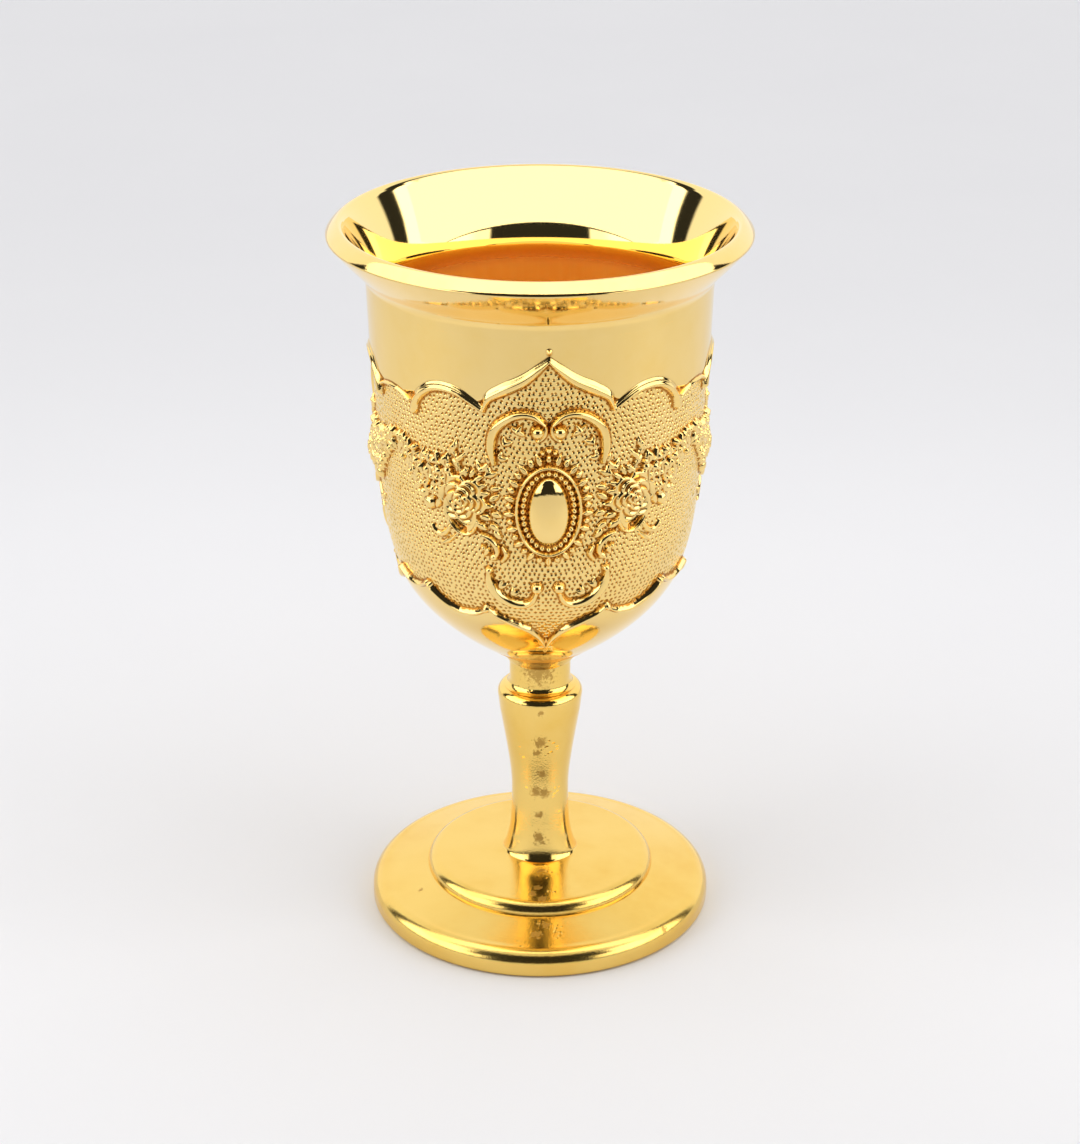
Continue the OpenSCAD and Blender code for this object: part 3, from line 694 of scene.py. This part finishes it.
class Nodes:
    """Short hand for one material's or world's node tree."""

    def __init__(self, tree):
        self.tree = tree
        tree.nodes.clear()

    def add(self, kind, **values):
        node = self.tree.nodes.new(kind)
        for key, value in values.items():
            setattr(node, key, value)
        return node

    def feed(self, socket, value):
        if isinstance(value, bpy.types.NodeSocket):
            self.tree.links.new(value, socket)
        elif value is not None:
            socket.default_value = value

    def math(self, operation, a, b=None, c=None):
        node = self.add("ShaderNodeMath", operation=operation)
        for socket, value in zip(node.inputs, (a, b, c)):
            self.feed(socket, value)
        return node.outputs[0]

    def ramp(self, value, low, high):
        """0 below low, 1 above high, a smooth step between."""
        node = self.add("ShaderNodeMapRange", interpolation_type="SMOOTHSTEP")
        self.feed(node.inputs["Value"], value)
        node.inputs["From Min"].default_value = low
        node.inputs["From Max"].default_value = high
        return node.outputs["Result"]

    def noise(self, vector, scale, detail=2.0, roughness=0.5):
        node = self.add("ShaderNodeTexNoise")
        self.feed(node.inputs["Vector"], vector)
        node.inputs["Scale"].default_value = scale
        node.inputs["Detail"].default_value = detail
        node.inputs["Roughness"].default_value = roughness
        return node.outputs["Fac"]

    def mix(self, factor, a, b):
        node = self.add("ShaderNodeMix", data_type="RGBA")
        self.feed(node.inputs["Factor"], factor)
        self.feed(node.inputs["A"], a)
        self.feed(node.inputs["B"], b)
        return node.outputs["Result"]

    def stretched(self, scale):
        coords = self.add("ShaderNodeTexCoord")
        mapping = self.add("ShaderNodeMapping")
        self.tree.links.new(coords.outputs["Object"], mapping.inputs["Vector"])
        mapping.inputs["Scale"].default_value = scale
        return mapping.outputs["Vector"]

    def bump(self, shader, height):
        """Feeds a height, in shares of BUMP_REACH metres, to a shader's normal."""
        node = self.add("ShaderNodeBump")
        node.inputs["Strength"].default_value = 1
        node.inputs["Distance"].default_value = BUMP_REACH
        self.feed(node.inputs["Height"], height)
        self.feed(shader.inputs["Normal"], node.outputs["Normal"])

    def finish(self, shader, kind="ShaderNodeOutputMaterial"):
        """Feeds a shader to the surface of the tree's output."""
        self.feed(self.add(kind).inputs["Surface"], shader.outputs[0])


def new_material(name):
    material = bpy.data.materials.new(name)
    material.use_nodes = True
    return material, Nodes(material.node_tree)


def metal(name, pale, deep, rough, grain, pits=0.0, scratches=0.2, crevice_shade=None, spots=()):
    """Polished metal: colour drifts between two tones, grain and pits are bump, scratches dull the gloss.

    crevice_shade is the colour of shade painted into the crevices of a piece that carries a cavity map,
    which also dulls the gloss there, and spots are places (x, y, z and reach, in millimetres) painted
    brown: painted shade where they lie under the bowl, small brown marks elsewhere.
    """
    material, n = new_material(name)
    place = n.stretched((1, 1, 1))
    drift = n.ramp(n.noise(place, 55, 3, 0.55), 0.3, 0.7)
    cloud = n.noise(place, 260, 3, 0.6)
    fine = n.noise(place, 2600, 2, 0.6)
    lines = n.ramp(n.noise(n.stretched((900, 900, 40)), 1, 2, 0.5), 0.62, 0.72)
    shader = n.add("ShaderNodeBsdfPrincipled")
    shader.inputs["Metallic"].default_value = 1
    tone = n.mix(n.math("MULTIPLY", drift, cloud), pale, deep)
    dull = n.math("MULTIPLY_ADD", cloud, 0.6 * rough, 0.7 * rough)
    dull = n.math("MULTIPLY_ADD", lines, scratches * 0.12, dull)
    # Painted shade: the frieze's crevices are painted brown from its cavity map, and dulled
    if crevice_shade is not None:
        cavity = n.add("ShaderNodeAttribute", attribute_name="cavity").outputs["Fac"]
        crevice_shade_mask = n.ramp(n.math("MULTIPLY_ADD", n.math("SUBTRACT", cloud, 0.5), 0.5, cavity), 0.24, 0.95)
        tone = n.mix(crevice_shade_mask, tone, crevice_shade)
        dull = n.math("MULTIPLY_ADD", crevice_shade_mask, 0.2, dull)
    marks_and_shade = None
    # Brown spots: painted shade under the bowl, small brown marks elsewhere
    for x, y, z, reach in spots:
        offset = n.add("ShaderNodeVectorMath", operation="DISTANCE")
        n.feed(offset.inputs[0], place)
        offset.inputs[1].default_value = (x * MM, y * MM, z * MM)
        far = n.math("DIVIDE", offset.outputs["Value"], reach * MM)
        far = n.math("MULTIPLY_ADD", n.noise(place, 1500, 3, 0.7), 2.4, far)
        mark = n.math("SUBTRACT", 1, n.ramp(far, 1.55, 2.0))
        marks_and_shade = mark if marks_and_shade is None else n.math("MAXIMUM", marks_and_shade, mark)
    if marks_and_shade is not None:
        tone = n.mix(n.math("MULTIPLY", marks_and_shade, 0.6), tone, MARK_AND_SHADE_BROWN)
        dull = n.math("MULTIPLY_ADD", marks_and_shade, 0.25, dull)
    n.feed(shader.inputs["Base Color"], tone)
    n.feed(shader.inputs["Roughness"], dull)
    height = n.math("MULTIPLY", fine, grain)
    if pits:
        cells = n.add("ShaderNodeTexVoronoi", feature="F1")
        n.feed(cells.inputs["Vector"], place)
        cells.inputs["Scale"].default_value = 900
        spot = n.math("SUBTRACT", 1, n.ramp(cells.outputs["Distance"], 0.12, 0.42))
        patch = n.math("MULTIPLY", n.ramp(n.noise(place, 130, 2, 0.7), 0.56, 0.66), front_patch(n, place))
        height = n.math("MULTIPLY_ADD", n.math("MULTIPLY", spot, patch), -pits, height)
    n.bump(shader, height)
    n.finish(shader)
    return material


def cup_inside():
    """Satin gold inside the cup, with fine upright streaks, polished again towards the lip. Below the lip the
    colour is painted reflection: deep orange for light bounced round the gold cup, streaked upright.
    """
    material, n = new_material("cup_inside")
    place = n.stretched((1, 1, 1))
    split = n.add("ShaderNodeSeparateXYZ")
    n.feed(split.inputs["Vector"], place)
    lip = n.ramp(split.outputs["Z"], (FLARE_Z - 9) * MM, (FLARE_Z - 4) * MM)
    streaks = n.noise(n.stretched((420, 420, 8)), 1, 3, 0.6)
    cloud = n.noise(place, 120, 3, 0.6)
    shader = n.add("ShaderNodeBsdfPrincipled")
    n.feed(shader.inputs["Metallic"], n.math("MULTIPLY_ADD", lip, 0.15, 0.85))
    # Painted reflection: the wall's deep orange stands for light bounced round the gold cup, and its streaks
    # for the studio's reflection
    painted_wall_reflection = n.mix(n.math("MULTIPLY_ADD", streaks, 0.6, n.math("MULTIPLY", cloud, 0.4)),
                 (1.0, 0.66, 0.13, 1), (0.92, 0.40, 0.04, 1))
    n.feed(shader.inputs["Base Color"], n.mix(lip, painted_wall_reflection, (0.98, 0.75, 0.30, 1)))
    satin = n.math("MULTIPLY_ADD", streaks, 0.2, 0.34)
    n.feed(shader.inputs["Roughness"], n.math("MULTIPLY_ADD", n.math("SUBTRACT", 1, lip), satin, 0.05))
    streak_depth = n.math("SUBTRACT", 0.3, n.math("MULTIPLY", lip, 0.26))
    n.bump(shader, n.math("MULTIPLY", streaks, streak_depth))
    n.finish(shader)
    return material


def front_patch(n, place):
    """1 on the front of the stem and foot, where the photo shows pits, and 0 elsewhere."""
    split = n.add("ShaderNodeSeparateXYZ")
    n.feed(split.inputs["Vector"], place)
    across = n.math("ABSOLUTE", split.outputs["X"])
    front = n.ramp(split.outputs["Y"], 0.001, -0.004)
    return n.math("MULTIPLY", n.math("SUBTRACT", 1, n.ramp(across, 0.002, 0.006)), front)


def floor_material():
    material, n = new_material("pale_floor")
    shader = n.add("ShaderNodeBsdfPrincipled")
    weave = n.noise(n.stretched((1, 1, 1)), 9, 3, 0.5)
    n.feed(shader.inputs["Base Color"], n.mix(weave, (0.80, 0.80, 0.82, 1), (0.83, 0.83, 0.845, 1)))
    shader.inputs["Roughness"].default_value = 0.9
    n.finish(shader)
    return material


# ---------------------------------------------------------------- studio

# From a fit to the outlines of the lip and the foot, with the middle of the photo taken as its optical
# centre; with other centres, tilts from 21.6 to 26.8 degrees down fit them as well
CAMERA_AT, CAMERA_TILT, CAMERA_LENS = (0, -0.5102, 0.3033), 65.89, 85.7
FLOOR_R, FLOOR_CORNERS = 4, 96
# Strength of the tent and its fall overhead, of the panels and their rise to the sides, and the share of
# light that the dark parts lose
TENT, TENT_FALL, PANEL, PANEL_RISE, DARKNESS = 1.10, 0.3, 1.6, 0.8, 0.975


def add_camera():
    camera = bpy.data.objects.new("camera", bpy.data.cameras.new("camera"))
    bpy.context.scene.collection.objects.link(camera)
    camera.location = CAMERA_AT
    camera.rotation_euler = (math.radians(CAMERA_TILT), 0, 0)
    camera.data.lens = CAMERA_LENS
    camera.data.sensor_width = 36
    camera.data.sensor_fit = "AUTO"
    camera.data.clip_start = 0.01
    bpy.context.scene.camera = camera


def add_floor():
    turns = np.linspace(0, 2 * math.pi, FLOOR_CORNERS + 1)[:-1]
    points = [(FLOOR_R * math.cos(a), FLOOR_R * math.sin(a), 0) for a in turns]
    mesh = bpy.data.meshes.new("floor")
    mesh.from_pydata(points, [], [list(range(len(points)))])
    floor = bpy.data.objects.new("floor", mesh)
    floor.data.materials.append(floor_material())
    bpy.context.scene.collection.objects.link(floor)


def glow(name, strength):
    material, n = new_material(name)
    lamp = n.add("ShaderNodeEmission")
    lamp.inputs["Color"].default_value = (1, 0.995, 0.985, 1)
    lamp.inputs["Strength"].default_value = strength
    n.finish(lamp)
    return material


def add_softbox():
    """Overhead softbox close above the cup, with a black front edge; the camera sees past it."""
    half, edge = 0.36, 0.006
    low, high = np.array([-0.085, 0.205]), np.array([0.030, 0.229])
    along = (high - low) / np.hypot(*(high - low))
    stops = [low - along * edge, low, high, high + along * edge]
    verts = [(x, *stop) for stop in stops for x in (-half, half)]
    faces = [(2 * j, 2 * j + 1, 2 * j + 3, 2 * j + 2) for j in range(3)]
    mesh = bpy.data.meshes.new("softbox")
    mesh.from_pydata(verts, [], faces)
    mesh.materials.append(glow("softbox_frame", 0.01))
    mesh.materials.append(glow("softbox_cloth", 1.9))
    for cloth in mesh.polygons[1:]:
        cloth.material_index = 1
    softbox = bpy.data.objects.new("softbox", mesh)
    softbox.visible_camera = False
    bpy.context.scene.collection.objects.link(softbox)


def build_world():
    """White tent by direction: bright panels at both sides, dark between them, below and at the seams."""
    world = bpy.data.worlds.new("studio")
    world.use_nodes = True
    bpy.context.scene.world = world
    n = Nodes(world.node_tree)
    coords = n.add("ShaderNodeTexCoord")
    split = n.add("ShaderNodeSeparateXYZ")
    n.feed(split.inputs["Vector"], coords.outputs["Generated"])
    to_degrees = 180 / math.pi
    east, north, rise = (split.outputs[k] for k in "XYZ")
    turn = n.math("MULTIPLY", n.math("ARCTAN2", east, n.math("MULTIPLY", north, -1)), to_degrees)
    round_ = n.math("ABSOLUTE", turn)
    up = n.math("MULTIPLY", n.math("ARCSINE", rise), to_degrees)

    def window(value, low, high, soft=1.5):
        return n.math("MULTIPLY", n.ramp(value, low - soft, low + soft),
                      n.math("SUBTRACT", 1, n.ramp(value, high - soft, high + soft)))

    def area(sideways, upwards):
        return n.math("MULTIPLY", window(round_, *sideways), window(up, *upwards))

    # Each area is a range of degrees round from the front, either way, and a range of elevation
    panel = area((36, 104), (4, 42))
    opening = n.math("MAXIMUM", area((-9, 36), (-90, 54)), area((-9, 50), (24, 56)))
    seam = n.math("MAXIMUM", area((104, 117), (-90, 66)), area((-9, 117), (-90, 4)))
    tent = n.math("SUBTRACT", TENT, n.math("MULTIPLY", n.ramp(up, 35, 75), TENT_FALL))
    power = n.math("MULTIPLY_ADD", n.ramp(round_, 44, 56), PANEL_RISE, PANEL)
    light = n.math("MULTIPLY_ADD", panel, n.math("SUBTRACT", power, tent), tent)
    dark = n.math("MAXIMUM", opening, seam)
    light = n.math("MULTIPLY", light, n.math("SUBTRACT", 1, n.math("MULTIPLY", dark, DARKNESS)))
    lamp = n.add("ShaderNodeBackground")
    lamp.inputs["Color"].default_value = (1, 0.995, 1.0, 1)
    n.feed(lamp.inputs["Strength"], light)
    plain = n.add("ShaderNodeBackground")
    plain.inputs["Color"].default_value = (0.93, 0.93, 0.945, 1)
    path = n.add("ShaderNodeLightPath")
    mix = n.add("ShaderNodeMixShader")
    n.feed(mix.inputs[0], path.outputs["Is Camera Ray"])
    n.feed(mix.inputs[1], lamp.outputs[0])
    n.feed(mix.inputs[2], plain.outputs[0])
    n.finish(mix, "ShaderNodeOutputWorld")


# ---------------------------------------------------------------- the vessel


def faces_cup(face):
    """True for a face of the bowl's shell that lies inside the cup."""
    x, y, z = face.center
    nx, ny, _ = face.normal
    painted_wall_reflection = x * nx + y * ny < 0 and z > (BOWL_Z + WALL) * MM
    floor = math.hypot(x, y) < 2 * SEAT_R * MM and z > BOWL_Z * MM + MM
    return painted_wall_reflection or floor


def finish_piece(piece, material, node=None):
    piece.data.materials.clear()
    piece.data.materials.append(material)
    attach(piece, "root")
    if node:
        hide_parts(node)


def build_vessel():
    bowl_gold = metal("bowl_gold", (1.0, 0.735, 0.29, 1), (0.97, 0.67, 0.20, 1), 0.06, 0.05, spots=BOWL_SPOTS)
    # Frieze gold with shade painted into its crevices
    frieze_gold = metal("frieze_gold", (1.0, 0.735, 0.285, 1), (0.98, 0.68, 0.21, 1), 0.05, 0.08,
                        crevice_shade=CREVICE_SHADE_BROWN)
    stem_gold = metal("stem_gold", (0.97, 0.68, 0.20, 1), (0.90, 0.56, 0.10, 1), 0.10, 0.14, 1.0,
                      spots=STEM_SPOTS)
    foot_gold = metal("foot_gold", (0.91, 0.63, 0.175, 1), (0.86, 0.53, 0.10, 1), 0.17, 0.16, 1.0,
                      spots=FOOT_SPOTS)
    bowl = revolve("bowl_shell", bowl_outline(), 288)
    finish_piece(bowl, bowl_gold, "bowl")
    bowl.data.materials.append(cup_inside())
    for face in bowl.data.polygons:
        face.material_index = 1 if faces_cup(face) else 0
    halves = (("inner", slice(0, HALF_COLUMNS + 1)), ("outer", slice(HALF_COLUMNS, 2 * HALF_COLUMNS + 1)))
    relief = half_relief(2 * HALF_COLUMNS, RELIEF_ROWS)
    for unit in range(UNITS):
        for side, word in ((-1, "left"), (1, "right")):
            height = frieze_height(relief, unit, side)
            cavity = cavity_map(height)
            for part, columns in halves:
                name = f"frieze_{unit + 1}_{word}_{part}"
                slab = frieze_slab(name, relief, height, cavity, unit, side, columns)
                finish_piece(slab, frieze_gold)
    turned = (("neck_collar", neck_outline(), stem_gold), ("knop", knop_outline(), stem_gold),
              ("stem", stem_outline(), stem_gold), ("stem_foot", base_outline(), stem_gold),
              ("foot_dome", tier_outline(), foot_gold), ("foot_plate", plate_outline(), foot_gold))
    for node, points, material in turned:
        finish_piece(revolve(node + "_turned", points, 240), material, node)


def finish_cad_nodes():
    steel = metal("zinc_steel", (0.62, 0.63, 0.66, 1), (0.5, 0.51, 0.53, 1), 0.3, 0.2)
    raw = metal("raw_brass", (0.75, 0.56, 0.28, 1), (0.62, 0.44, 0.2, 1), 0.3, 0.25)
    spun = metal("brushed_brass", (0.80, 0.60, 0.30, 1), (0.7, 0.5, 0.24, 1), 0.28, 0.2, scratches=1)
    for node, material in (("bowl_boss", raw), ("tie_rod", steel), ("flat_washer", steel),
                           ("spring_washer", steel), ("thin_nut", steel), ("base_cover", spun)):
        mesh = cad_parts[node].data
        mesh.materials.clear()
        mesh.materials.append(material)


add_camera()
add_floor()
add_softbox()
build_world()
build_vessel()
finish_cad_nodes()
bpy.context.scene.view_settings.view_transform = "Standard"
